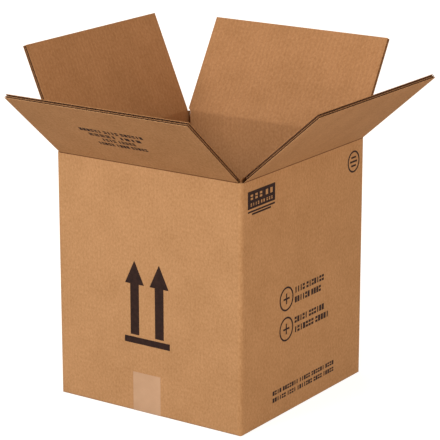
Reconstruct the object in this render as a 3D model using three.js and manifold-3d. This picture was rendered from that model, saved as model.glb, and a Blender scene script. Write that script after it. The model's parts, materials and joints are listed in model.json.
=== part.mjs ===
// A plain brown slotted shipping carton of double-wall corrugated board, stood open with its four top
// flaps folded outwards, its bottom flaps shut and taped. Millimetres, +Z up.
// The origin is the centre of the base, on the surface the carton stands on. The front wall faces -Y.
import * as THREE from "three";
import { mergeVertices } from "three/addons/utils/BufferGeometryUtils.js";
import Module from "manifold-3d";

// Carton outside, across the two wide flaps' walls, across the other two, and up to the top creases.
const cartonWidth = 320;
const cartonDepth = 325;
const majorCreaseHeight = 366;

// Double-wall board: three liners with a fine flute layer outside and a coarse one inside.
const board = 6;
const liner = 0.5;
const fineFluteHeight = 1.9;
const fineFlutePitch = 6.5;
const coarseFlutePitch = 7.8;
const mediumHalfWidth = 0.45;
const fluteOpeningDepth = 9;

// Folds and cuts.
const uprightCornerRadius = 7.5;
const bottomCreaseRadius = 2.5;
const slotSetback = 6.5;
const slotCutBelowCrease = 1;
const cutMargin = 1;
const layerGap = 0.3;
const creaseGap = 0.3;
const seamGap = 6;

// How far each flap leans outwards from upright, in degrees.
const frontFlapLean = 49.5;
const rightFlapLean = 48.5;
const backFlapLean = 30.5;
const leftFlapLean = 23;

// The left wall runs on round the back corner as a joining tab, pressed thin and glued outside the back
// wall, whose cut end stops short of the left wall and leaves a slit.
const joiningTabWidth = 35;
const joiningTabThickness = 3;
const joiningTabEndDrop = 1.5;
const joiningTabBottom = 6;
const joiningSlit = 4;

// Sealing tape along the bottom seam and up the front and back walls.
const tapeWidth = 48;
const tapeThickness = 0.2;
const tapeLegHeight = 60;
const tapeOffset = -2.5;
const tapeClearance = 0.02;

// Printed marks, each a thin film of ink. Shut flaps lie clear of the print between them.
const inkThickness = 0.2;
const inkFlapGap = 0.3;
const printClearance = 0.3;

// Two upright arrows over a bar on the front wall.
const arrowHeight = 110;
const arrowHeadHeight = 34.5;
const arrowHeadWidth = 33;
const arrowShaftWidth = 15;
const arrowSpacing = 43;
const arrowCentreX = -1;
const arrowBarHeight = 9.5;
const arrowBarWidth = 79;
const arrowBarBottom = 103;
const arrowBarGap = 3.5;

// Blank marks on the right wall: a panel with two rules, a seal ring, two code rings and text lines.
const panelWidth = 68;
const panelHeight = 25;
const panelSetback = 48.5;
const panelBottomDrop = 41;
const ruleHeight = 2.5;
const ruleGap = 4;
const longRuleWidth = 67;
const shortRuleWidth = 47;
const sealRingDiameter = 33;
const sealRingSetback = 31.5;
const sealRingDrop = 31;
const codeRingDiameter = 36;
const ringLine = 2.6;
const codeRingY = -48;
const codeRingHeight = 172;
const codeRingSpacing = 45;
const codeLineStartY = -26;
const codeLineHeight = 9;
const codeLineSpacing = 14.5;
const codeLineWidths = [78, 70, 79, 92];
const footLineWidth = 165;
const footLineHeight = 6.5;
const footLineSpacing = 10.5;
const footLineTop = 42.5;

// Four short centred lines on the outside of the front flap.
const flapLineWidths = [83, 56, 88, 107];
const flapLineHeight = 7;
const flapLineSpacing = 12.3;
const flapLineStart = 59;
const flapLineX = -7;

// Worked out from the values above. All four creases are level in the photo, but the front and back flaps
// shut one board lower. So each of those two turns about a line inside its crease, and sinks as it shuts.
const baseLift = tapeThickness;
const minorShutHeight = majorCreaseHeight - board - inkFlapGap - inkThickness - printClearance;
const flapLength = (cartonWidth - seamGap) / 2;
const halfWidth = cartonWidth / 2;
const halfDepth = cartonDepth / 2;
const panelCentreY = panelSetback - halfDepth;
const sealRingY = halfDepth - sealRingSetback;
const minorHalfSpan = halfWidth - slotSetback;
const majorHalfSpan = halfDepth - slotSetback;
const coarseFluteHeight = board - 3 * liner - fineFluteHeight;

// How far below its crease a flap's hinge lies, for its lean and for how much lower it is when shut.
function hingeDrop(lean, lowerWhenShut) {
  return lowerWhenShut / (1 + Math.sin(THREE.MathUtils.degToRad(lean)));
}

const wasm = await Module();
wasm.setup();

// three.js geometry to a solid that can be joined and cut.
function solid(geometry) {
  const bare = geometry.clone();
  bare.deleteAttribute("normal");
  bare.deleteAttribute("uv");
  const merged = mergeVertices(bare, 1e-4);
  return new wasm.Manifold(
    new wasm.Mesh({
      numProp: 3,
      vertProperties: merged.attributes.position.array,
      triVerts: new Uint32Array(merged.index.array),
    }),
  );
}

// A joined solid back to three.js geometry.
function geometryOf(body) {
  const mesh = body.getMesh();
  const points = new Float32Array(mesh.numVert * 3);
  for (let i = 0; i < mesh.numVert; i += 1) {
    for (let k = 0; k < 3; k += 1) {
      points[3 * i + k] = mesh.vertProperties[mesh.numProp * i + k];
    }
  }
  const geometry = new THREE.BufferGeometry();
  geometry.setAttribute("position", new THREE.BufferAttribute(points, 3));
  geometry.setIndex(new THREE.BufferAttribute(new Uint32Array(mesh.triVerts), 1));
  geometry.computeVertexNormals();
  return geometry;
}

function joined(bodies) {
  return bodies.reduce((sum, body) => sum.add(body));
}

// A box between two corners.
function block(low, high) {
  const size = high.map((value, k) => value - low[k]);
  const geometry = new THREE.BoxGeometry(...size);
  geometry.translate(...low.map((value, k) => value + size[k] / 2));
  return geometry;
}

function outline(points) {
  return new THREE.Shape(points.map(([u, v]) => new THREE.Vector2(u, v)));
}

// An outline in (inward, up) swept along a wall's length, from -half to +half. At turn 0 the wall is the
// front one: its outer face is at inward = 0 and the sweep runs along X.
function sweptAlongWall(points, half, wallDistance, turn) {
  const geometry = new THREE.ExtrudeGeometry(outline(points), {
    depth: 2 * half,
    bevelEnabled: false,
  });
  geometry.translate(0, 0, -half);
  const basis = new THREE.Matrix4().makeBasis(
    new THREE.Vector3(0, 1, 0),
    new THREE.Vector3(0, 0, 1),
    new THREE.Vector3(1, 0, 0),
  );
  geometry.applyMatrix4(basis);
  geometry.translate(0, -wallDistance, 0);
  geometry.rotateZ(turn);
  return geometry;
}

function roundedRectangle(halfX, halfY, radius) {
  const shape = new THREE.Shape();
  shape.moveTo(halfX, -halfY + radius);
  shape.lineTo(halfX, halfY - radius);
  shape.absarc(halfX - radius, halfY - radius, radius, 0, Math.PI / 2, false);
  shape.lineTo(-halfX + radius, halfY);
  shape.absarc(-halfX + radius, halfY - radius, radius, Math.PI / 2, Math.PI, false);
  shape.lineTo(-halfX, -halfY + radius);
  shape.absarc(-halfX + radius, -halfY + radius, radius, Math.PI, 1.5 * Math.PI, false);
  shape.lineTo(halfX - radius, -halfY);
  shape.absarc(halfX - radius, -halfY + radius, radius, 1.5 * Math.PI, 2 * Math.PI, false);
  return shape;
}

// The four walls as one tube with rounded upright folds, between two heights.
function wallTube(bottom, top) {
  const shape = roundedRectangle(halfWidth, halfDepth, uprightCornerRadius);
  const innerRadius = uprightCornerRadius - board;
  shape.holes.push(roundedRectangle(halfWidth - board, halfDepth - board, innerRadius));
  return raised(shape, bottom, top);
}

function raised(shape, bottom, top) {
  const geometry = new THREE.ExtrudeGeometry(shape, {
    depth: top - bottom,
    bevelEnabled: false,
    curveSegments: 6,
  });
  geometry.translate(0, 0, bottom);
  return geometry;
}

// The joining tab with the rounded corner that carries it, and clear of the walls' inside.
function joiningTab() {
  const top = minorShutHeight - joiningTabEndDrop;
  const outside = roundedRectangle(halfWidth, halfDepth + joiningTabThickness, uprightCornerRadius);
  const wrapped = solid(raised(outside, joiningTabBottom, top));
  const startY = halfDepth - uprightCornerRadius - cutMargin;
  const endY = halfDepth + joiningTabThickness + cutMargin;
  const low = [-halfWidth - cutMargin, startY, 0];
  const high = [-halfWidth + joiningTabWidth, endY, majorCreaseHeight];
  const window = solid(block(low, high));
  const insideLow = [-halfWidth + board, startY - cutMargin, -cutMargin];
  const insideHigh = [halfWidth, halfDepth, majorCreaseHeight + cutMargin];
  return wrapped.intersect(window).subtract(solid(block(insideLow, insideHigh)));
}

// Quarter-round from the underside up to a wall's outer face, as points in (inward, up).
function creaseArc(radius, centreInward, centreUp) {
  const steps = 5;
  const points = [];
  for (let i = 0; i <= steps; i += 1) {
    const angle = (i / steps) * (Math.PI / 2);
    points.push([centreInward - radius * Math.sin(angle), centreUp - radius * Math.cos(angle)]);
  }
  return points;
}

const sink = majorCreaseHeight - minorShutHeight;
const FRONT = { turn: 0, distance: halfDepth, half: minorHalfSpan, lean: frontFlapLean, sink };
const RIGHT = { turn: Math.PI / 2, distance: halfWidth, half: majorHalfSpan, lean: rightFlapLean, sink: 0 };
const BACK = { turn: Math.PI, distance: halfDepth, half: minorHalfSpan, lean: backFlapLean, sink };
const LEFT = { turn: -Math.PI / 2, distance: halfWidth, half: majorHalfSpan, lean: leftFlapLean, sink: 0 };

// One folded blank: walls, creased top rims, corner slots, four bottom flaps and the joining tab.
function cartonBody() {
  const bottom = baseLift;
  const tubeTop = minorShutHeight - board - creaseGap;
  const parts = [solid(wallTube(bottom, tubeTop))];

  // Corner stubs reach up to the slots' bottoms, and each wall's top is mitred towards its hinge line. Only
  // the outer liner runs on up to a crease that lies higher than that.
  const stubs = solid(wallTube(tubeTop - board, majorCreaseHeight - slotCutBelowCrease));
  const keepX = [minorHalfSpan, -halfWidth - cutMargin];
  const keepY = [majorHalfSpan, -halfDepth - cutMargin];
  for (const x of keepX) {
    for (const y of keepY) {
      const low = [x, y, 0];
      const high = [x + slotSetback + cutMargin, y + slotSetback + cutMargin, majorCreaseHeight];
      parts.push(stubs.intersect(solid(block(low, high))));
    }
  }
  for (const wall of [FRONT, RIGHT, BACK, LEFT]) {
    const hingeHeight = majorCreaseHeight - hingeDrop(wall.lean, wall.sink);
    const lip = [
      [liner, hingeHeight - liner - creaseGap],
      [liner, majorCreaseHeight - creaseGap],
    ];
    const rim = [
      [0, tubeTop - board],
      [board, tubeTop - board],
      [board, hingeHeight - board - creaseGap],
      ...(wall.sink > 0 ? lip : []),
      [0, majorCreaseHeight - creaseGap],
    ];
    parts.push(solid(sweptAlongWall(rim, wall.half, wall.distance, wall.turn)));
  }

  // Bottom flaps: the wide pair lies underneath and meets at the seam, the other pair lies on it.
  for (const wall of [RIGHT, LEFT]) {
    const flap = [
      [0, bottom],
      [flapLength, bottom],
      [flapLength, bottom + board],
      [0, bottom + board],
    ];
    parts.push(solid(sweptAlongWall(flap, wall.half, wall.distance, wall.turn)));
  }
  for (const wall of [FRONT, BACK]) {
    const low = bottom + board + layerGap;
    const flap = [
      [board / 2, low],
      [flapLength, low],
      [flapLength, low + board],
      [board / 2, low + board],
    ];
    parts.push(solid(sweptAlongWall(flap, wall.half, wall.distance, wall.turn)));
  }

  // Rounded bottom creases.
  let body = joined(parts);
  for (const wall of [FRONT, RIGHT, BACK, LEFT]) {
    const reach = halfWidth + halfDepth;
    const arc = creaseArc(bottomCreaseRadius, bottomCreaseRadius, bottom + bottomCreaseRadius);
    const cutter = [...arc, [-board, bottom + bottomCreaseRadius], [-board, -board], [bottomCreaseRadius, -board]];
    body = body.subtract(solid(sweptAlongWall(cutter.reverse(), reach, wall.distance, wall.turn)));
  }

  // The joint: a slit through the back wall beside the left one, closed from outside by the tab.
  const slitX = -halfWidth + board;
  const slitLow = [slitX, halfDepth - board - cutMargin, bottom + 2 * board + 2 * layerGap];
  const slitHigh = [slitX + joiningSlit, halfDepth + joiningTabThickness + cutMargin, majorCreaseHeight];
  body = body.subtract(solid(block(slitLow, slitHigh))).add(joiningTab());
  return geometryOf(body);
}

// The hollow channels of one flute layer as triangles on a flap's end face, in (across, depth).
function fluteChannels(half, pitch, depthLow, depthHigh) {
  const channels = [];
  const count = Math.floor((2 * half - 2 * liner) / pitch);
  const start = (-count * pitch) / 2;
  const slope = (depthHigh - depthLow) / (pitch / 2);
  const tipSetback = mediumHalfWidth * slope;
  for (let i = 0; i < count; i += 1) {
    const left = start + i * pitch;
    const middle = left + pitch / 2;
    const right = left + pitch;
    channels.push([
      [left + mediumHalfWidth, depthLow],
      [right - mediumHalfWidth, depthLow],
      [middle, depthHigh - tipSetback],
    ]);
    if (i < count - 1) {
      channels.push([
        [middle + mediumHalfWidth, depthHigh],
        [right, depthLow + tipSetback],
        [right + pitch / 2 - mediumHalfWidth, depthHigh],
      ]);
    }
  }
  return channels;
}

// A flap standing upright over its hinge line: X along the line, +Y into the board, +Z up the flap. Its
// outer face is outerDepth in and it starts at root. The root is mitred so that it folds shut over the
// wall, and the end shows the open flutes.
function flapSolid(half, outerDepth, root) {
  const side = [
    [outerDepth, root],
    [outerDepth + board, root + board],
    [outerDepth + board, flapLength],
    [outerDepth, flapLength],
  ];
  const slab = solid(sweptAlongWall(side, half, 0, 0));
  const fineLow = outerDepth + liner;
  const fineHigh = fineLow + fineFluteHeight;
  const coarseLow = fineHigh + liner;
  const coarseHigh = coarseLow + coarseFluteHeight;
  const channels = [
    ...fluteChannels(half, fineFlutePitch, fineLow, fineHigh),
    ...fluteChannels(half, coarseFlutePitch, coarseLow, coarseHigh),
  ];
  const cutters = new THREE.ExtrudeGeometry(channels.map(outline), {
    depth: 2 * fluteOpeningDepth,
    bevelEnabled: false,
  });
  cutters.translate(0, 0, flapLength - fluteOpeningDepth);
  return geometryOf(slab.subtract(solid(cutters)));
}

const kraftOutside = new THREE.MeshStandardMaterial({ color: 0xba8a5e, roughness: 0.85, metalness: 0 });
const kraftInside = new THREE.MeshStandardMaterial({ color: 0xb0814f, roughness: 0.9, metalness: 0 });
const tapeFilm = new THREE.MeshStandardMaterial({ color: 0xc79a78, roughness: 0.3, metalness: 0 });
const ink = new THREE.MeshStandardMaterial({ color: 0x33241f, roughness: 0.7, metalness: 0 });

const carton = new THREE.Group();

function place(parent, name, geometry, material) {
  const mesh = new THREE.Mesh(geometry, material);
  mesh.name = name;
  parent.add(mesh);
  return mesh;
}

place(carton, "carton_body", cartonBody(), kraftOutside);

// A hinged flap's own group stands on its hinge line and leans outwards. Its outer face, carried on down,
// meets the wall's outer face at the crease.
function hangFlap(name, wall) {
  const side = new THREE.Group();
  side.rotation.z = wall.turn;
  const hinge = new THREE.Group();
  const lean = THREE.MathUtils.degToRad(wall.lean);
  const drop = hingeDrop(wall.lean, wall.sink);
  const outerDepth = drop * Math.sin(lean);
  const root = Math.max(drop * Math.cos(lean), outerDepth) + creaseGap;
  hinge.position.set(0, -wall.distance, majorCreaseHeight - drop);
  hinge.rotation.x = lean;
  place(hinge, name, flapSolid(wall.half, outerDepth, root), kraftInside);
  side.add(hinge);
  carton.add(side);
  return { hinge, outerDepth };
}

const frontFlap = hangFlap("front_flap", FRONT);
hangFlap("right_flap", RIGHT);
hangFlap("back_flap", BACK);
hangFlap("left_flap", LEFT);

// The tape follows the front wall, both bottom creases, the base and the back wall.
function sealingTape() {
  const inner = creaseArc(
    bottomCreaseRadius + tapeClearance,
    bottomCreaseRadius,
    baseLift + bottomCreaseRadius,
  ).map(([inward, up]) => [Math.max(inward, 0), Math.max(up, baseLift)]);
  const outer = creaseArc(
    bottomCreaseRadius + tapeThickness,
    bottomCreaseRadius,
    baseLift + bottomCreaseRadius,
  );
  const mirrored = (points) => points.map(([inward, up]) => [cartonDepth - inward, up]).reverse();
  const loop = [
    ...outer,
    [-tapeThickness, tapeLegHeight],
    [0, tapeLegHeight],
    ...[...inner].reverse(),
    ...mirrored([...inner].reverse()),
    [cartonDepth, tapeLegHeight],
    [cartonDepth + tapeThickness, tapeLegHeight],
    ...mirrored(outer),
  ];
  const geometry = sweptAlongWall(loop, tapeWidth / 2, halfDepth, 0);
  geometry.translate(tapeOffset, 0, 0);
  return geometry;
}
place(carton, "bottom_tape", sealingTape(), tapeFilm);

// A printed film on a wall. The outline is in (across, up), seen from outside.
const frontWallInk = new THREE.Group();
frontWallInk.position.set(0, -halfDepth, 0);
const rightWallInk = new THREE.Group();
rightWallInk.position.set(halfWidth, 0, 0);
rightWallInk.rotation.z = Math.PI / 2;
carton.add(frontWallInk, rightWallInk);

function inkFilm(shape) {
  const geometry = new THREE.ExtrudeGeometry(shape, {
    depth: inkThickness,
    bevelEnabled: false,
    curveSegments: 20,
  });
  geometry.rotateX(Math.PI / 2);
  return geometry;
}

function bar(left, low, width, height) {
  return inkFilm(
    outline([
      [left, low],
      [left + width, low],
      [left + width, low + height],
      [left, low + height],
    ]),
  );
}

function ring(centreAcross, centreUp, diameter) {
  const shape = new THREE.Shape();
  shape.absarc(centreAcross, centreUp, diameter / 2, 0, 2 * Math.PI, false);
  const hole = new THREE.Path();
  hole.absarc(centreAcross, centreUp, diameter / 2 - ringLine, 0, 2 * Math.PI, true);
  shape.holes.push(hole);
  return inkFilm(shape);
}

function arrow(centre, low) {
  const neck = low + arrowHeight - arrowHeadHeight;
  return inkFilm(
    outline([
      [centre - arrowShaftWidth / 2, low],
      [centre + arrowShaftWidth / 2, low],
      [centre + arrowShaftWidth / 2, neck],
      [centre + arrowHeadWidth / 2, neck],
      [centre, low + arrowHeight],
      [centre - arrowHeadWidth / 2, neck],
      [centre - arrowShaftWidth / 2, neck],
    ]),
  );
}

const arrowBottom = arrowBarBottom + arrowBarHeight + arrowBarGap;
place(frontWallInk, "arrow_print_left", arrow(arrowCentreX - arrowSpacing / 2, arrowBottom), ink);
place(frontWallInk, "arrow_print_right", arrow(arrowCentreX + arrowSpacing / 2, arrowBottom), ink);
const arrowBarLeft = arrowCentreX - arrowBarWidth / 2;
place(frontWallInk, "arrow_bar_print", bar(arrowBarLeft, arrowBarBottom, arrowBarWidth, arrowBarHeight), ink);

const panelBottom = majorCreaseHeight - panelBottomDrop;
const panelLeft = panelCentreY - panelWidth / 2;
place(rightWallInk, "panel_print", bar(panelLeft, panelBottom, panelWidth, panelHeight), ink);
[longRuleWidth, shortRuleWidth].forEach((width, i) => {
  const low = panelBottom - (i + 1) * ruleGap - ruleHeight / 2;
  place(rightWallInk, `panel_rule_print_${i + 1}`, bar(panelCentreY - width / 2, low, width, ruleHeight), ink);
});
const sealRingHeight = majorCreaseHeight - sealRingDrop;
place(rightWallInk, "seal_ring_print", ring(sealRingY, sealRingHeight, sealRingDiameter), ink);
for (let i = 0; i < 2; i += 1) {
  const height = codeRingHeight - i * codeRingSpacing;
  place(rightWallInk, `code_ring_print_${i + 1}`, ring(codeRingY, height, codeRingDiameter), ink);
  for (let k = 0; k < 2; k += 1) {
    const line = 2 * i + k;
    const low = height + codeLineSpacing * (0.5 - k) - codeLineHeight / 2;
    const film = bar(codeLineStartY, low, codeLineWidths[line], codeLineHeight);
    place(rightWallInk, `code_line_print_${line + 1}`, film, ink);
  }
  const footLow = footLineTop - footLineHeight - i * footLineSpacing;
  const foot = bar(-footLineWidth / 2, footLow, footLineWidth, footLineHeight);
  place(rightWallInk, `foot_line_print_${i + 1}`, foot, ink);
}

flapLineWidths.forEach((width, i) => {
  const low = flapLineStart + i * flapLineSpacing - flapLineHeight / 2;
  const film = bar(flapLineX - width / 2, low, width, flapLineHeight);
  const line = place(frontFlap.hinge, `flap_line_print_${i + 1}`, film, ink);
  line.position.y = frontFlap.outerDepth - inkFlapGap;
});

export default carton;
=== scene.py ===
# An open shipping carton in brown double-wall corrugated board: four printed walls, a taped base
# and four top flaps that fold about their creases. Everything is in metres, standing on z = 0, with
# the front wall at -Y.
import json
import math
import random

import bmesh
import bpy
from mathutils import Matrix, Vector


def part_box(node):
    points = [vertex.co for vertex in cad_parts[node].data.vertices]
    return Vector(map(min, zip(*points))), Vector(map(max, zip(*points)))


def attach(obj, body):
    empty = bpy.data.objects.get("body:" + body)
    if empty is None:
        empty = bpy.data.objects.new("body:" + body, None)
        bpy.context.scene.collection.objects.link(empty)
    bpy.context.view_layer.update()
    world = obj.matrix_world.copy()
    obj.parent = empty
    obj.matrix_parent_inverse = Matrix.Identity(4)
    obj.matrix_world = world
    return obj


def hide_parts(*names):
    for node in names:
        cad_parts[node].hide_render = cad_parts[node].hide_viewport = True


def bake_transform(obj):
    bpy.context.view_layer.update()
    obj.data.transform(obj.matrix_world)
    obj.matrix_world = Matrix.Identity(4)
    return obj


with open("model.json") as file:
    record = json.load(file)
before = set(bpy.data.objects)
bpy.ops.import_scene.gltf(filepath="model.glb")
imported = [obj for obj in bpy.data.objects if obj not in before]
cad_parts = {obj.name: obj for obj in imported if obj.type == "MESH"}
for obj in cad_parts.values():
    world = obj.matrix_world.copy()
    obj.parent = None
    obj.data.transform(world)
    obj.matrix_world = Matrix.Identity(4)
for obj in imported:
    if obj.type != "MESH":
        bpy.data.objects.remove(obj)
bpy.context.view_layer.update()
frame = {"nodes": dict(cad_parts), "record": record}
random.seed(11)
MM = 0.001


# Kraft linerboard
# The carton's outside and inside faces are unbleached kraft paper, 0.5 mm thick, glued to the
# flutes. Its long brown fibres and damp patches from the paper machine give it cloudy tones and a
# dull, open surface.

def linear(hex_colour):
    """An sRGB hex colour as linear RGBA."""
    channels = [int(hex_colour[i : i + 2], 16) / 255 for i in (1, 3, 5)]
    return [c / 12.92 if c <= 0.04045 else ((c + 0.055) / 1.055) ** 2.4 for c in channels] + [1.0]


def node(tree, kind, settings=None, inputs=None):
    """Adds a shader node with its settings, and fills or links its inputs."""
    made = tree.nodes.new(kind)
    for name, value in (settings or {}).items():
        setattr(made, name, value)
    for socket, value in (inputs or {}).items():
        if isinstance(value, bpy.types.NodeSocket):
            tree.links.new(value, made.inputs[socket])
        else:
            made.inputs[socket].default_value = value
    return made


def new_material(name):
    material = bpy.data.materials.new(name)
    material.use_nodes = True
    material.node_tree.nodes.clear()
    return material, material.node_tree


def maths(tree, operation, *values):
    """The result of a maths node for one or two values."""
    settings = {"operation": operation}
    return node(tree, "ShaderNodeMath", settings, dict(enumerate(values))).outputs[0]


def embossed(tree, height, strength, distance, over=None):
    """The normal of a surface with this relief in it, over the normal of a first relief if given."""
    inputs = {"Strength": strength, "Distance": distance, "Height": height}
    if over is not None:
        inputs["Normal"] = over
    return node(tree, "ShaderNodeBump", {}, inputs).outputs["Normal"]


def surfaced(tree, inputs):
    """A principled surface with these inputs, as what the material shows."""
    surface = node(tree, "ShaderNodeBsdfPrincipled", {}, inputs)
    node(tree, "ShaderNodeOutputMaterial", {}, {"Surface": surface.outputs["BSDF"]})


# The cloud pattern's value up to which a paper is dark, and the one from which it is light.
DARK_UP_TO = 0.33
LIGHT_FROM = 0.67


def mottled(tree, place, dark, light, size, detail=4.0, stretch=(1, 1, 1)):
    """Two tones of one paper, mixed by a cloudy pattern whose patches are about size across."""
    spread = node(tree, "ShaderNodeMapping", {}, {"Vector": place, "Scale": stretch})
    cloud = node(
        tree,
        "ShaderNodeTexNoise",
        {},
        {"Vector": spread.outputs["Vector"], "Scale": 1 / size, "Detail": detail, "Roughness": 0.6},
    )
    tones = node(tree, "ShaderNodeValToRGB", {}, {"Fac": cloud.outputs["Fac"]})
    low, high = tones.color_ramp.elements
    low.position = DARK_UP_TO
    low.color = linear(dark)
    high.position = LIGHT_FROM
    high.color = linear(light)
    return tones.outputs["Color"]


def mixed(tree, first, second, share, how="MIX"):
    """Two colours laid over each other."""
    settings = {"data_type": "RGBA", "blend_type": how}
    return node(tree, "ShaderNodeMix", settings, {0: share, 6: first, 7: second}).outputs[2]


# The ribs are as far apart as the real flutes. A wave texture of scale 1 turns by 20 radians in one
# unit of length.
FLUTE_PITCH = 7.8 * MM
WAVE_NODE_RADIANS = 20.0


def washboard(tree, place, direction):
    """The faint ribs that the flutes press through the liner, one for each flute."""
    return node(
        tree,
        "ShaderNodeTexWave",
        {"wave_type": "BANDS", "bands_direction": direction, "wave_profile": "SIN"},
        {
            "Vector": place,
            "Scale": 2 * math.pi / WAVE_NODE_RADIANS / FLUTE_PITCH,
            "Distortion": 1.2,
            "Detail": 2.0,
            "Detail Scale": 0.35,
        },
    ).outputs["Fac"]


# Half the carton's width and depth outside, and how deep the middle of a wall lies.
body_low, body_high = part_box("carton_body")
HALF_WIDTH = body_high[0]
HALF_DEPTH = -body_low[1]
WALL_MIDDLE = 3 * MM


def within_walls(tree, place):
    """One inside the carton's walls and nothing outside them."""
    parts = node(tree, "ShaderNodeSeparateXYZ", {}, {"Vector": place})
    within = []
    for axis, half in (("X", HALF_WIDTH), ("Y", HALF_DEPTH)):
        distance = maths(tree, "ABSOLUTE", parts.outputs[axis])
        within.append(maths(tree, "LESS_THAN", distance, half - WALL_MIDDLE))
    return maths(tree, "MULTIPLY", *within)


KRAFT_DARK = "#B18152"
KRAFT_LIGHT = "#BC8B5C"
CLOUD_SIZE = 45 * MM
# Inside faces are multiplied by this tint: partly a darker inside paper, partly painted shade inside
# the open carton.
INSIDE_PAPER_AND_SHADE_TINT = (0.89, 0.81, 0.745, 1)
# Real fibres are 3 mm long and 0.04 mm across, and the pulp's grain is about 0.2 mm. Both are drawn
# coarser, so that they show at all.
FIBRE_SIZE = 2.8 * MM
FIBRE_DARK = "#8C6440"
FIBRE_LIGHT = "#DFB489"
FIBRE_SHARE = 0.24
FIBRE_STRETCH = (1, 1, 0.7)
PULP_GRAIN = 0.9 * MM
PULP_DEPTH = 0.12 * MM
RIB_SHADE = "#8A6340"


def kraft_liner(name, directions, rib_share, rib_depth, inner=0.0, tint=INSIDE_PAPER_AND_SHADE_TINT):
    """Unbleached kraft liner. directions are the axes that the ribs are counted along. inner is how
    far tint darkens it, as on the inside liner, a darker paper whose tint also paints the shade
    inside the carton; "by place" darkens only what lies within the carton's walls, as painted shade
    there."""
    material, tree = new_material(name)
    place = node(tree, "ShaderNodeTexCoord").outputs["Object"]
    clouds = mottled(tree, place, KRAFT_DARK, KRAFT_LIGHT, CLOUD_SIZE)
    fibres = mottled(tree, place, FIBRE_DARK, FIBRE_LIGHT, FIBRE_SIZE, 6.0, FIBRE_STRETCH)
    paper = mixed(tree, clouds, fibres, FIBRE_SHARE)
    # Within the carton's walls the tint is painted shade inside the open carton, as well as the
    # darker inside paper.
    if inner == "by place":
        inner = within_walls(tree, place)
    paper = mixed(tree, paper, tint, inner, "MULTIPLY")

    # Ribs run up the walls, so they are counted across each wall by the side that it faces.
    if len(directions) == 1:
        ribs = washboard(tree, place, directions[0])
    else:
        facing = node(tree, "ShaderNodeNewGeometry").outputs["Normal"]
        parts = node(tree, "ShaderNodeSeparateXYZ", {}, {"Vector": facing})
        faces_x = maths(tree, "GREATER_THAN", maths(tree, "ABSOLUTE", parts.outputs["X"]), 0.5)
        across_x = washboard(tree, place, "X")
        across_y = washboard(tree, place, "Y")
        chosen = {0: faces_x, 2: across_x, 3: across_y}
        ribs = node(tree, "ShaderNodeMix", {"data_type": "FLOAT"}, chosen).outputs[0]
    ribbed = mixed(tree, paper, linear(RIB_SHADE), maths(tree, "MULTIPLY", ribs, rib_share))

    grain = {"Vector": place, "Scale": 1 / PULP_GRAIN, "Detail": 5.0}
    pulp = node(tree, "ShaderNodeTexNoise", {}, grain).outputs["Fac"]
    rib_relief = embossed(tree, ribs, 0.3, rib_depth)
    relief = embossed(tree, pulp, 0.25, PULP_DEPTH, over=rib_relief)
    surfaced(
        tree,
        {
            "Base Color": ribbed,
            "Roughness": 0.82,
            "IOR": 1.5,
            "Specular IOR Level": 0.25,
            "Normal": relief,
        },
    )
    return material


# Carton body
# The blank is folded round at rounded upright creases and glued at a joining tab outside the back
# wall. Its bottom flaps are folded in and taped, the wide pair underneath. It is one piece of board.

OUTER_RIBS = {"rib_share": 0.05, "rib_depth": 0.05 * MM}
INNER_RIBS = {"rib_share": 0.14, "rib_depth": 0.12 * MM}
# The inside of the carton's walls is tinted darker: partly a darker inside paper, partly painted
# shade.
carton_kraft = kraft_liner(
    "kraft linerboard of the carton", ("X", "Y"), **OUTER_RIBS, inner="by place"
)
carton_body = frame["nodes"]["carton_body"]
carton_body.data.materials.clear()
carton_body.data.materials.append(carton_kraft)


# Top flaps
# Each flap is the wall's own board beyond a crushed crease: three kraft liners with two rows of
# flutes glued between them, 6 mm in all, cut square at its sides and end so that the hollow flutes
# show.

BOARD = 6 * MM
LINER = 0.5 * MM
MEDIUM = 0.3 * MM
FINE_FLUTE = 1.9 * MM
FINE_PITCH = 6.5 * MM
COARSE_LOW = 2 * LINER + FINE_FLUTE
COARSE_HIGH = BOARD - LINER

# Where the creases and the cuts beside them lie, and the gap between two shut flaps.
CREASE_LEVEL = 366 * MM
SLOT_SETBACK = 6.5 * MM
SLIT_SETBACK = 10.3 * MM
SEAM_GAP = 6 * MM

# How the liners go round a crease. RIM is how far down the wall they reach, and PROUD how far they
# stand out of the board. A shoulder is the length beside the crease that bends. A sink is how much
# lower a liner's bend would lie on the flaps that sink as they shut; the sinks are not applied here.
RIM = 15 * MM
PROUD = 0.12 * MM
CREASE_SHOULDER = 0.8 * MM
OUTER_SHOULDER = 1.6 * MM
OUTER_PRESS = 0.15 * MM
OUTER_SINK = 2 * MM
INNER_SINK = 5 * MM

# The flutes are crushed flat up to FLUTE_START, and stop just short of the flap's cut end.
FLUTE_START = 7 * MM
FLUTE_END_MARGIN = 0.1 * MM
CRUSHED_HALF = 1 * MM

# The flaps' inside liners take the whole inside tint: darker paper and painted shade together.
outer_kraft = {}
inner_kraft = {}
for axis in "XY":
    outer_name = f"outside kraft liner, ribs along {axis}"
    inner_name = f"inside kraft liner, ribs along {axis}"
    outer_kraft[axis] = kraft_liner(outer_name, (axis,), **OUTER_RIBS)
    inner_kraft[axis] = kraft_liner(inner_name, (axis,), **INNER_RIBS, inner=1.0)
# The crease's dark line is painted shade: the liner in the middle of the bend is multiplied by this
# dark tint.
CREASE_SHADE_TINT = (0.34, 0.26, 0.2, 1)
crease_shade_kraft = kraft_liner(
    "kraft with painted shade along a crease", ("X",), **OUTER_RIBS, inner=1.0, tint=CREASE_SHADE_TINT
)

# The fluting paper's grain is drawn coarser than the real 0.2 mm.
MEDIUM_PATCH = 2.5 * MM
MEDIUM_GRAIN = 0.6 * MM
MEDIUM_DEPTH = 0.1 * MM


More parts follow.
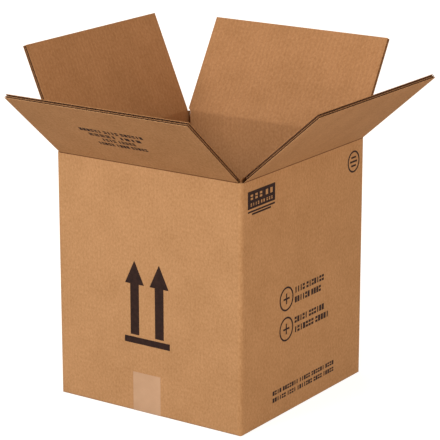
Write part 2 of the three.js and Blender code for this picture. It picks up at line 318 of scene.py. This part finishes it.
def flute_medium():
    """Recycled fluting paper: thinner, duller and rougher than the liner."""
    material, tree = new_material("fluting medium")
    place = node(tree, "ShaderNodeTexCoord").outputs["Object"]
    colour = mottled(tree, place, "#54372A", "#7D583F", MEDIUM_PATCH)
    grain = node(tree, "ShaderNodeTexNoise", {}, {"Vector": place, "Scale": 1 / MEDIUM_GRAIN})
    relief = embossed(tree, grain.outputs["Fac"], 0.3, MEDIUM_DEPTH)
    looks = {"Base Color": colour, "Roughness": 0.9, "Specular IOR Level": 0.15, "Normal": relief}
    surfaced(tree, looks)
    return material


fluting_paper = flute_medium()
SHARPEST_BEND = math.radians(35)


def mesh_piece(name, points, faces, material):
    """A new mesh object with its faces turned outwards and its gentle bends smooth."""
    mesh = bpy.data.meshes.new(name)
    mesh.from_pydata(points, [], faces)
    shape = bmesh.new()
    shape.from_mesh(mesh)
    bmesh.ops.recalc_face_normals(shape, faces=shape.faces)
    shape.to_mesh(mesh)
    shape.free()
    mesh.shade_smooth()
    mesh.set_sharp_from_angle(angle=SHARPEST_BEND)
    mesh.materials.append(material)
    piece = bpy.data.objects.new(name, mesh)
    bpy.context.scene.collection.objects.link(piece)
    return piece


# A liner's rows of points: on the wall, round the bend, and at these shares of the flap's length.
WALL_ROWS = 2
BEND_STEPS = 6
FLAP_ROWS = (0.12, 0.35, 0.6, 0.85, 1.0)
UP = Vector((0, 0, 1))


class Flap:
    """Where a flap's points lie at rest: across it, along it from the crease, and deep into the
    board. The front and back flaps turn about a line a little below the crease, so they sink as
    they shut."""

    def __init__(self, joint, outward):
        facts = next(j for j in frame["record"]["behaviour"]["joints"] if j["name"] == joint)
        pivot = Vector(facts["pos_m"])
        self.crease = Vector((pivot.x, pivot.y, CREASE_LEVEL))
        self.body = facts["child"]
        self.outward = Vector(outward)
        self.across = UP.cross(self.outward)
        self.lean = math.radians(facts["range_deg"][1] - 90)
        self.up = math.sin(self.lean) * self.outward + math.cos(self.lean) * UP
        self.inward = -math.cos(self.lean) * self.outward + math.sin(self.lean) * UP
        sideways = abs(self.outward.x) > 0.5
        self.half = (HALF_DEPTH if sideways else HALF_WIDTH) - SLOT_SETBACK
        self.rib_axis = "Y" if sideways else "X"
        self.wall_end = HALF_WIDTH - SLIT_SETBACK if self.outward.y > 0.5 else self.half
        self.sinks = pivot.z < CREASE_LEVEL
        self.length = HALF_WIDTH - SEAM_GAP / 2 - (CREASE_LEVEL - pivot.z) * math.cos(self.lean)

    def on_flap(self, across, along, depth):
        return self.crease + across * self.across + along * self.up + depth * self.inward

    def on_wall(self, across, below, depth):
        return self.crease + across * self.across - below * UP - depth * self.outward

    def on_rim(self, across, below, depth):
        """A point on the wall that keeps clear of the slit beside the joining tab."""
        return self.on_wall(min(across, self.wall_end), below, depth)

    def skin(self, depth, shoulder, press=0.0):
        """Rows from the wall's rim over the crease to the flap's end at one depth, as functions of
        across. press is how deep the creasing wheel has pushed the board in."""
        rows = [lambda u, d=d: self.on_rim(u, d, depth) for d in (RIM, (RIM + shoulder) / 2)]
        mitre = depth * math.tan(self.lean / 2)
        for i in range(BEND_STEPS + 1):
            t = i / BEND_STEPS

            def bend(u, t=t):
                start = self.on_rim(u, shoulder, depth)
                corner = self.on_rim(u, -mitre, depth + press)
                end = self.on_flap(u, shoulder, depth)
                return (1 - t) ** 2 * start + 2 * t * (1 - t) * corner + t * t * end

            rows.append(bend)
        for share in FLAP_ROWS:
            along = shoulder + share * (self.length - shoulder)
            rows.append(lambda u, a=along: self.on_flap(u, a, depth))
        return rows


SHEET_DIVISIONS = 8


def sheet_between(name, outer_rows, inner_rows, half, material, divisions=SHEET_DIVISIONS):
    """A closed sheet of paper between two sets of rows."""
    points = []
    for rows in (outer_rows, inner_rows):
        for row in rows:
            for k in range(divisions + 1):
                points.append(row(-half + 2 * half * k / divisions))
    strips = len(outer_rows) - 1
    m = divisions + 1
    offset = len(points) // 2
    faces = []
    for base in (0, offset):
        for i in range(strips):
            for k in range(divisions):
                a = base + i * m + k
                faces.append((a, a + 1, a + m + 1, a + m))
    for i in range(strips):
        for k in (0, divisions):
            a = i * m + k
            faces.append((a, a + m, a + m + offset, a + offset))
    for i in (0, strips):
        for k in range(divisions):
            a = i * m + k
            faces.append((a, a + 1, a + 1 + offset, a + offset))
    return mesh_piece(name, points, faces, material)


STEPS_PER_FLUTE = 12


def fluted_sheet(name, flap, low, high, pitch):
    """One row of flutes: a thin medium that swings between two liners, running along the flap."""
    middle = (low + high) / 2
    swing = (high - low - MEDIUM) / 2

    def wave(across, along, side):
        depth = middle + swing * math.sin(2 * math.pi * across / pitch) + side * MEDIUM
        return flap.on_flap(across, along, depth)

    lengths = (FLUTE_START, flap.length / 2, flap.length - FLUTE_END_MARGIN)
    sides = [
        [lambda u, a=along, s=side: wave(u, a, s) for along in lengths] for side in (-0.5, 0.5)
    ]
    count = int(2 * flap.half / pitch * STEPS_PER_FLUTE)
    return sheet_between(name, *sides, flap.half, fluting_paper, divisions=count)


def flat_sheet(name, flap, lengths, depths, material):
    """A sheet that lies in the flap's board, between two lengths and two depths."""
    sides = [[lambda u, a=a, d=d: flap.on_flap(u, a, d) for a in lengths] for d in depths]
    return sheet_between(name, *sides, flap.half, material)


# The strips of the outer liner in the middle of the bend, where the creasing wheel has pressed it,
# counted from the wall's rim. They carry the painted shade of the crease.
CREASE_SHADE_STRIPS = range(WALL_ROWS + 1, WALL_ROWS + BEND_STEPS - 1)


def paint_crease_shade(liner):
    """Darkens the middle of the bend with painted shade along the crease."""
    liner.data.materials.append(crease_shade_kraft)
    for strip in CREASE_SHADE_STRIPS:
        for k in range(SHEET_DIVISIONS):
            liner.data.polygons[strip * SHEET_DIVISIONS + k].material_index = 1


def flap_board(name, flap):
    """The flap's liners and flutes, bent over the crease with the wall's rim."""
    outside = outer_kraft[flap.rib_axis]
    inside = inner_kraft[flap.rib_axis]
    liners = [
        sheet_between(
            f"{name}_outer_liner",
            flap.skin(-PROUD, OUTER_SHOULDER, OUTER_PRESS),
            flap.skin(LINER, OUTER_SHOULDER, OUTER_PRESS),
            flap.half,
            outside,
        ),
        sheet_between(
            f"{name}_inner_liner",
            flap.skin(COARSE_HIGH, CREASE_SHOULDER),
            flap.skin(BOARD + PROUD, CREASE_SHOULDER),
            flap.half,
            inside,
        ),
    ]
    paint_crease_shade(liners[0])
    for liner, lowered in zip(liners, (OUTER_SINK, INNER_SINK)):
        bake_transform(liner)
    fine = fluted_sheet(f"{name}_fine_flutes", flap, LINER, LINER + FINE_FLUTE, FINE_PITCH)
    coarse = fluted_sheet(f"{name}_coarse_flutes", flap, COARSE_LOW, COARSE_HIGH, FLUTE_PITCH)
    middle = flat_sheet(
        f"{name}_middle_liner",
        flap,
        lengths=(FLUTE_START, flap.length),
        depths=(LINER + FINE_FLUTE, COARSE_LOW),
        material=inside,
    )
    crushed = flat_sheet(
        f"{name}_crushed_flutes",
        flap,
        lengths=(FLUTE_START - CRUSHED_HALF, FLUTE_START + CRUSHED_HALF),
        depths=(LINER, COARSE_HIGH),
        material=fluting_paper,
    )
    for sheet in (fine, coarse, middle, crushed):
        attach(sheet, flap.body)
    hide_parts(name)


flaps = {
    "front_flap": Flap("front_flap_fold", (0, -1, 0)),
    "right_flap": Flap("right_flap_fold", (1, 0, 0)),
    "back_flap": Flap("back_flap_fold", (0, 1, 0)),
    "left_flap": Flap("left_flap_fold", (-1, 0, 0)),
}
for flap_name, flap in flaps.items():
    flap_board(flap_name, flap)


# Sealing tape
# One strip of 48 mm polypropylene packing tape under the bottom seam and 60 mm up the front and
# back walls, torn off on the dispenser's teeth. It is clear tan film: the kraft's clouds show
# through it, paler.

# The film stands a little proud of the board, and its underside is tucked just below the surface.
TAPE_PROUD = 0.15 * MM
TAPE_TUCK = 0.04 * MM
TOOTH_PITCH = 1.6 * MM
TOOTH_DEPTH = 0.7 * MM
BOTTOM_RADIUS = 2.5 * MM
CORNER_STEPS = 5
FILM_WRINKLE = 9 * MM
WRINKLE_DEPTH = 0.3 * MM

tape_low, tape_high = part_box("bottom_tape")
TAPE_MIDDLE = (tape_low[0] + tape_high[0]) / 2
TAPE_HALF = (tape_high[0] - tape_low[0]) / 2


def packing_tape():
    material, tree = new_material("polypropylene packing tape")
    place = node(tree, "ShaderNodeTexCoord").outputs["Object"]
    film = mottled(tree, place, "#B68F6D", "#C39B79", CLOUD_SIZE)
    pattern = {"Vector": place, "Scale": 1 / FILM_WRINKLE, "Detail": 3.0}
    wrinkles = node(tree, "ShaderNodeTexNoise", {}, pattern).outputs["Fac"]
    relief = embossed(tree, wrinkles, 0.2, WRINKLE_DEPTH)
    surfaced(tree, {"Base Color": film, "Roughness": 0.42, "IOR": 1.49, "Normal": relief})
    return material


# The tape's straight rows: at these shares of its leg's height, and of the way out from the middle.
LEG_SHARES = (0.7, 0.4)
BASE_SHARES = (-0.5, 0)


def tape_rows(proud):
    """Rows across the tape, from its torn end on the front wall, under the base, to the back one."""
    top = tape_high[2]
    levels = [top - TOOTH_DEPTH, *(share * top for share in LEG_SHARES), BOTTOM_RADIUS]
    front = [(-HALF_DEPTH - proud, z) for z in levels]
    radius = BOTTOM_RADIUS + proud
    bend_middle = -HALF_DEPTH + BOTTOM_RADIUS
    bend_level = BOTTOM_RADIUS + tape_low[2] + TAPE_PROUD
    for step in range(1, CORNER_STEPS + 1):
        turn = step / CORNER_STEPS * math.pi / 2
        place = (bend_middle - radius * math.cos(turn), bend_level - radius * math.sin(turn))
        front.append(place)
    front += [(share * HALF_DEPTH, front[-1][1]) for share in BASE_SHARES]
    whole = front + [(-y, z) for y, z in reversed(front[:-1])]

    def tooth(u):
        return TOOTH_DEPTH * abs(((u / TOOTH_PITCH) % 1) * 2 - 1)

    rows = [lambda u, y=y, z=z: Vector((TAPE_MIDDLE + u, y, z)) for y, z in whole]
    for end in (0, -1):
        y, z = whole[end]
        rows[end] = lambda u, y=y, z=z: Vector((TAPE_MIDDLE + u, y, z + tooth(u)))
    return rows


tape = sheet_between(
    "sealing_tape",
    tape_rows(TAPE_PROUD),
    tape_rows(-TAPE_TUCK),
    TAPE_HALF,
    packing_tape(),
    divisions=round(2 * 2 * TAPE_HALF / TOOTH_PITCH),
)
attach(tape, "carton")
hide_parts("bottom_tape")


# Printed marks
# Water-based flexographic ink, one dark brown-black pass. It soaks into the kraft, so it is dull
# and the paper's fibres still show faintly in it. Two upright arrows stand over a bar on the front
# wall.

INK_PATCH = 6 * MM


def flexo_ink():
    material, tree = new_material("water-based flexographic ink")
    place = node(tree, "ShaderNodeTexCoord").outputs["Object"]
    colour = mottled(tree, place, "#22130F", "#321F19", INK_PATCH, detail=6.0)
    surfaced(tree, {"Base Color": colour, "Roughness": 0.75, "Specular IOR Level": 0.15})
    return material


ink = flexo_ink()
for name, solid in frame["nodes"].items():
    if "_print" in name:
        solid.data.materials.clear()
        solid.data.materials.append(ink)


# Blank text rows
# The small print is rows of plain blocks, as a layout shows text that isn't set yet: words of
# narrow blocks with some split in two. They are the same ink, printed in the same pass.

# The ink stands proud of the paper by far more than real ink does, so that it covers the paper.
INK_PROUD = 0.15 * MM
INK_TUCK = 0.04 * MM


class PrintPlane:
    """A flat face to print on: its middle, the way that the print reads, up and out of the face."""

    def __init__(self, origin, reads, up, out):
        self.origin, self.reads, self.up, self.out = (Vector(v) for v in (origin, reads, up, out))

    def at(self, across, upward, proud):
        return self.origin + across * self.reads + upward * self.up + proud * self.out


def ink_blocks(name, plane, rectangles, material, proud=INK_PROUD):
    """Flat blocks of ink in one piece. A rectangle is (left, low, width, height)."""
    points, faces = [], []
    for left, low, width, height in rectangles:
        base = len(points)
        for level in (-INK_TUCK, proud):
            for x, y in ((0, 0), (width, 0), (width, height), (0, height)):
                points.append(plane.at(left + x, low + y, level))
        corner_sets = [(0, 3, 2, 1), (4, 5, 6, 7)]
        corner_sets += [(k, (k + 1) % 4, (k + 1) % 4 + 4, k + 4) for k in range(4)]
        faces += [tuple(base + k for k in corners) for corners in corner_sets]
    return mesh_piece(name, points, faces, material)


# Shares of a block: the space that a word's end adds, a split block's halves, a narrow block's width.
WORD_SPACE = 0.6
HALF_BLOCK = 0.4
NARROW_BLOCK = 0.5


def text_row(left, low, width, height, words, gap_share=0.3):
    """Blocks for one row of blank text, words being how many blocks each word has."""
    count = sum(words)
    spaces = len(words) - 1
    unit = width / (count + gap_share * (count - 1) + WORD_SPACE * spaces)
    blocks = []
    x = left
    for word in words:
        for _ in range(word):
            kind = random.choice(("whole", "split", "split", "narrow"))
            if kind == "whole":
                blocks.append((x, low, unit, height))
            if kind == "split":
                half = HALF_BLOCK * height
                blocks.append((x, low, unit, half))
                blocks.append((x, low + height - half, unit, half))
            if kind == "narrow":
                narrow = NARROW_BLOCK * unit
                blocks.append((x + (unit - narrow) / 2, low, narrow, height))
            x += unit * (1 + gap_share)
        x += unit * WORD_SPACE
    return blocks


def print_row_over(node_name, plane, words, body):
    """Blank text in the place of a printed bar."""
    low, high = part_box(node_name)
    middle = (Vector(low) + Vector(high)) / 2 - plane.origin
    spread = Vector(high) - Vector(low)
    width = abs(spread.dot(Vector([abs(c) for c in plane.reads])))
    height = spread.z / abs(plane.up.z)
    across, upward = middle.dot(plane.reads), middle.dot(plane.up)
    rows = text_row(across - width / 2, upward - height / 2, width, height, words)
    piece = ink_blocks(node_name.replace("_print_", "_blocks_"), plane, rows, ink)
    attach(piece, body)
    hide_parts(node_name)


right_wall = PrintPlane((HALF_WIDTH, 0, 0), (0, 1, 0), (0, 0, 1), (1, 0, 0))
front_lid = flaps["front_flap"]
front_face = PrintPlane(
    front_lid.on_flap(0, 0, -PROUD), front_lid.across, front_lid.up, -front_lid.inward
)
CODE_WORDS = ((4, 7), (6, 4), (5, 6), (7, 5))
FOOT_WORDS = ((4, 7, 5, 6, 4), (6, 4, 7, 4, 5))
FLAP_WORDS = ((5, 4, 5), (4, 5), (5, 4), (6, 4, 6))
for i, words in enumerate(CODE_WORDS):
    print_row_over(f"code_line_print_{i + 1}", right_wall, words, "carton")
for i, words in enumerate(FOOT_WORDS):
    print_row_over(f"foot_line_print_{i + 1}", right_wall, words, "carton")
for i, words in enumerate(FLAP_WORDS):
    print_row_over(f"flap_line_print_{i + 1}", front_face, words, "front_lid")


# Blank panel and rings
# A solid panel with rows of bare blocks left open in it, and rings with a printer's plain register
# cross. The open blocks are bare kraft, where the plate left no ink.

def centre_of(node_name):
    low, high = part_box(node_name)
    return (low[1] + high[1]) / 2, (low[2] + high[2]) / 2, high[1] - low[1], high[2] - low[2]


def stamped(name, rectangles, material=ink, proud=INK_PROUD):
    piece = ink_blocks(name, right_wall, rectangles, material, proud)
    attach(piece, "carton")


# A bare row is its foot and its height, as shares of the panel's height, and its words.
LARGE_ROW = (0.5, 0.3, (3, 2))
SMALL_ROW = (0.14, 0.17, (4, 2, 3))
BARE_PROUD = 0.26 * MM
MARGIN_SHARE = 0.1
panel_y, panel_z, panel_width, panel_height = centre_of("panel_print")
margin = MARGIN_SHARE * panel_width
bare_rows = []
for low_share, height_share, words in (LARGE_ROW, SMALL_ROW):
    bare_rows += text_row(
        panel_y - panel_width / 2 + margin,
        panel_z - panel_height / 2 + low_share * panel_height,
        panel_width - 2 * margin,
        height_share * panel_height,
        words,
        gap_share=1.0,
    )
stamped("panel_bare_blocks", bare_rows, carton_kraft, BARE_PROUD)

CROSS_LINE = 2.8 * MM
ARM_SHARE = 0.22
for i in (1, 2):
    y, z, ring_width, _ = centre_of(f"code_ring_print_{i}")
    arm = ARM_SHARE * ring_width
    stamped(
        f"code_ring_cross_{i}",
        [
            (y - CROSS_LINE / 2, z - arm, CROSS_LINE, 2 * arm),
            (y - arm, z - CROSS_LINE / 2, arm - CROSS_LINE / 2, CROSS_LINE),
            (y + CROSS_LINE / 2, z - CROSS_LINE / 2, arm - CROSS_LINE / 2, CROSS_LINE),
        ],
    )
BAR_SPACING_SHARE = 0.19
BAR_SHARES = {-1: 0.2, 0: 0.3, 1: 0.2}
y, z, ring_width, _ = centre_of("seal_ring_print")
bars = []
for k, share in BAR_SHARES.items():
    reach = share * ring_width
    level = z + k * BAR_SPACING_SHARE * ring_width
    bars.append((y - reach, level - CROSS_LINE / 2, 2 * reach, CROSS_LINE))
stamped("seal_ring_bars", bars)


# Floor, light and camera
# A plain white sweep with soft light from the front left, seen from the photograph's place. The
# floor and the room behind look white to the camera, and light the carton like warm grey paper.

FLOOR_GLOW = 0.86


def seen_directly(tree):
    """One where the camera or a glossy surface looks, and nothing where light is only gathered."""
    path = node(tree, "ShaderNodeLightPath")
    return maths(tree, "MAXIMUM", path.outputs["Is Camera Ray"], path.outputs["Is Glossy Ray"])


def white_floor():
    material, tree = new_material("white paper sweep")
    paper = node(tree, "ShaderNodeBsdfDiffuse", {}, {"Color": linear("#B0A498")})
    lift = maths(tree, "MULTIPLY", seen_directly(tree), FLOOR_GLOW)
    glow = node(tree, "ShaderNodeEmission", {}, {"Color": (1, 1, 1, 1), "Strength": lift})
    lit = {0: paper.outputs["BSDF"], 1: glow.outputs["Emission"]}
    both = node(tree, "ShaderNodeAddShader", {}, lit)
    node(tree, "ShaderNodeOutputMaterial", {}, {"Surface": both.outputs["Shader"]})
    return material


FLOOR_HALF = 8.0
FLOOR_LEVEL = -0.2 * MM
floor_signs = ((-1, -1), (1, -1), (1, 1), (-1, 1))
floor_corners = [(x * FLOOR_HALF, y * FLOOR_HALF, FLOOR_LEVEL) for x, y in floor_signs]
floor = mesh_piece("floor", floor_corners, [(0, 1, 2, 3)], white_floor())

world = bpy.data.worlds.new("studio")
world.use_nodes = True
bpy.context.scene.world = world
sky = world.node_tree
sky.nodes.clear()
ROOM_LIGHT = 0.49
ROOM_COLOUR = (1, 0.91, 0.82, 1)
seen = seen_directly(sky)
room_strength = node(
    sky, "ShaderNodeMapRange", {}, {"Value": seen, "To Min": ROOM_LIGHT, "To Max": 1.0}
).outputs["Result"]
room_colour = mixed(sky, ROOM_COLOUR, (1, 1, 1, 1), seen)
room = node(sky, "ShaderNodeBackground", {}, {"Color": room_colour, "Strength": room_strength})
node(sky, "ShaderNodeOutputWorld", {}, {"Surface": room.outputs["Background"]})


LAMP_AIM = Vector((0, 0, 0.25))


def softbox(name, place, size, power, colour):
    """A round soft lamp of size across at place, turned to the carton's middle."""
    lamp = bpy.data.lights.new(name, "AREA")
    lamp.shape = "DISK"
    lamp.size = size
    lamp.energy = power
    lamp.color = colour
    holder = bpy.data.objects.new(name, lamp)
    holder.location = place
    holder.rotation_euler = (LAMP_AIM - Vector(place)).to_track_quat("-Z", "Y").to_euler()
    bpy.context.scene.collection.objects.link(holder)


softbox("front softbox", place=(-0.7, -2.7, 1.8), size=1.2, power=70, colour=(0.94, 0.97, 1))
softbox("side softbox", place=(2.6, -0.7, 1.0), size=1.4, power=28, colour=(1, 0.9, 0.8))
softbox("back softbox", place=(-2.2, 2.4, 1.5), size=1.4, power=22, colour=(1, 0.95, 0.9))

CAMERA_AZIMUTH = math.radians(34.365)
CAMERA_ELEVATION = math.radians(15.824)
CAMERA_DISTANCE = 3.1462
FOCAL_PIXELS = 2102.2
PHOTO_WIDTH = 440
AIM_RIGHT = 10.8 * MM
AIM_UP = 241.7 * MM

camera_data = bpy.data.cameras.new("camera")
camera_data.sensor_width = 36
camera_data.lens = FOCAL_PIXELS / PHOTO_WIDTH * camera_data.sensor_width
camera_data.clip_end = 50
camera = bpy.data.objects.new("camera", camera_data)
bpy.context.scene.collection.objects.link(camera)
bpy.context.scene.camera = camera
toward = Vector(
    (
        math.sin(CAMERA_AZIMUTH) * math.cos(CAMERA_ELEVATION),
        -math.cos(CAMERA_AZIMUTH) * math.cos(CAMERA_ELEVATION),
        math.sin(CAMERA_ELEVATION),
    )
)
right = Vector((math.cos(CAMERA_AZIMUTH), math.sin(CAMERA_AZIMUTH), 0))
camera.location = AIM_RIGHT * right + AIM_UP * toward.cross(right) + CAMERA_DISTANCE * toward
camera.rotation_euler = (-toward).to_track_quat("-Z", "Y").to_euler()

bpy.context.scene.view_settings.view_transform = "Standard"
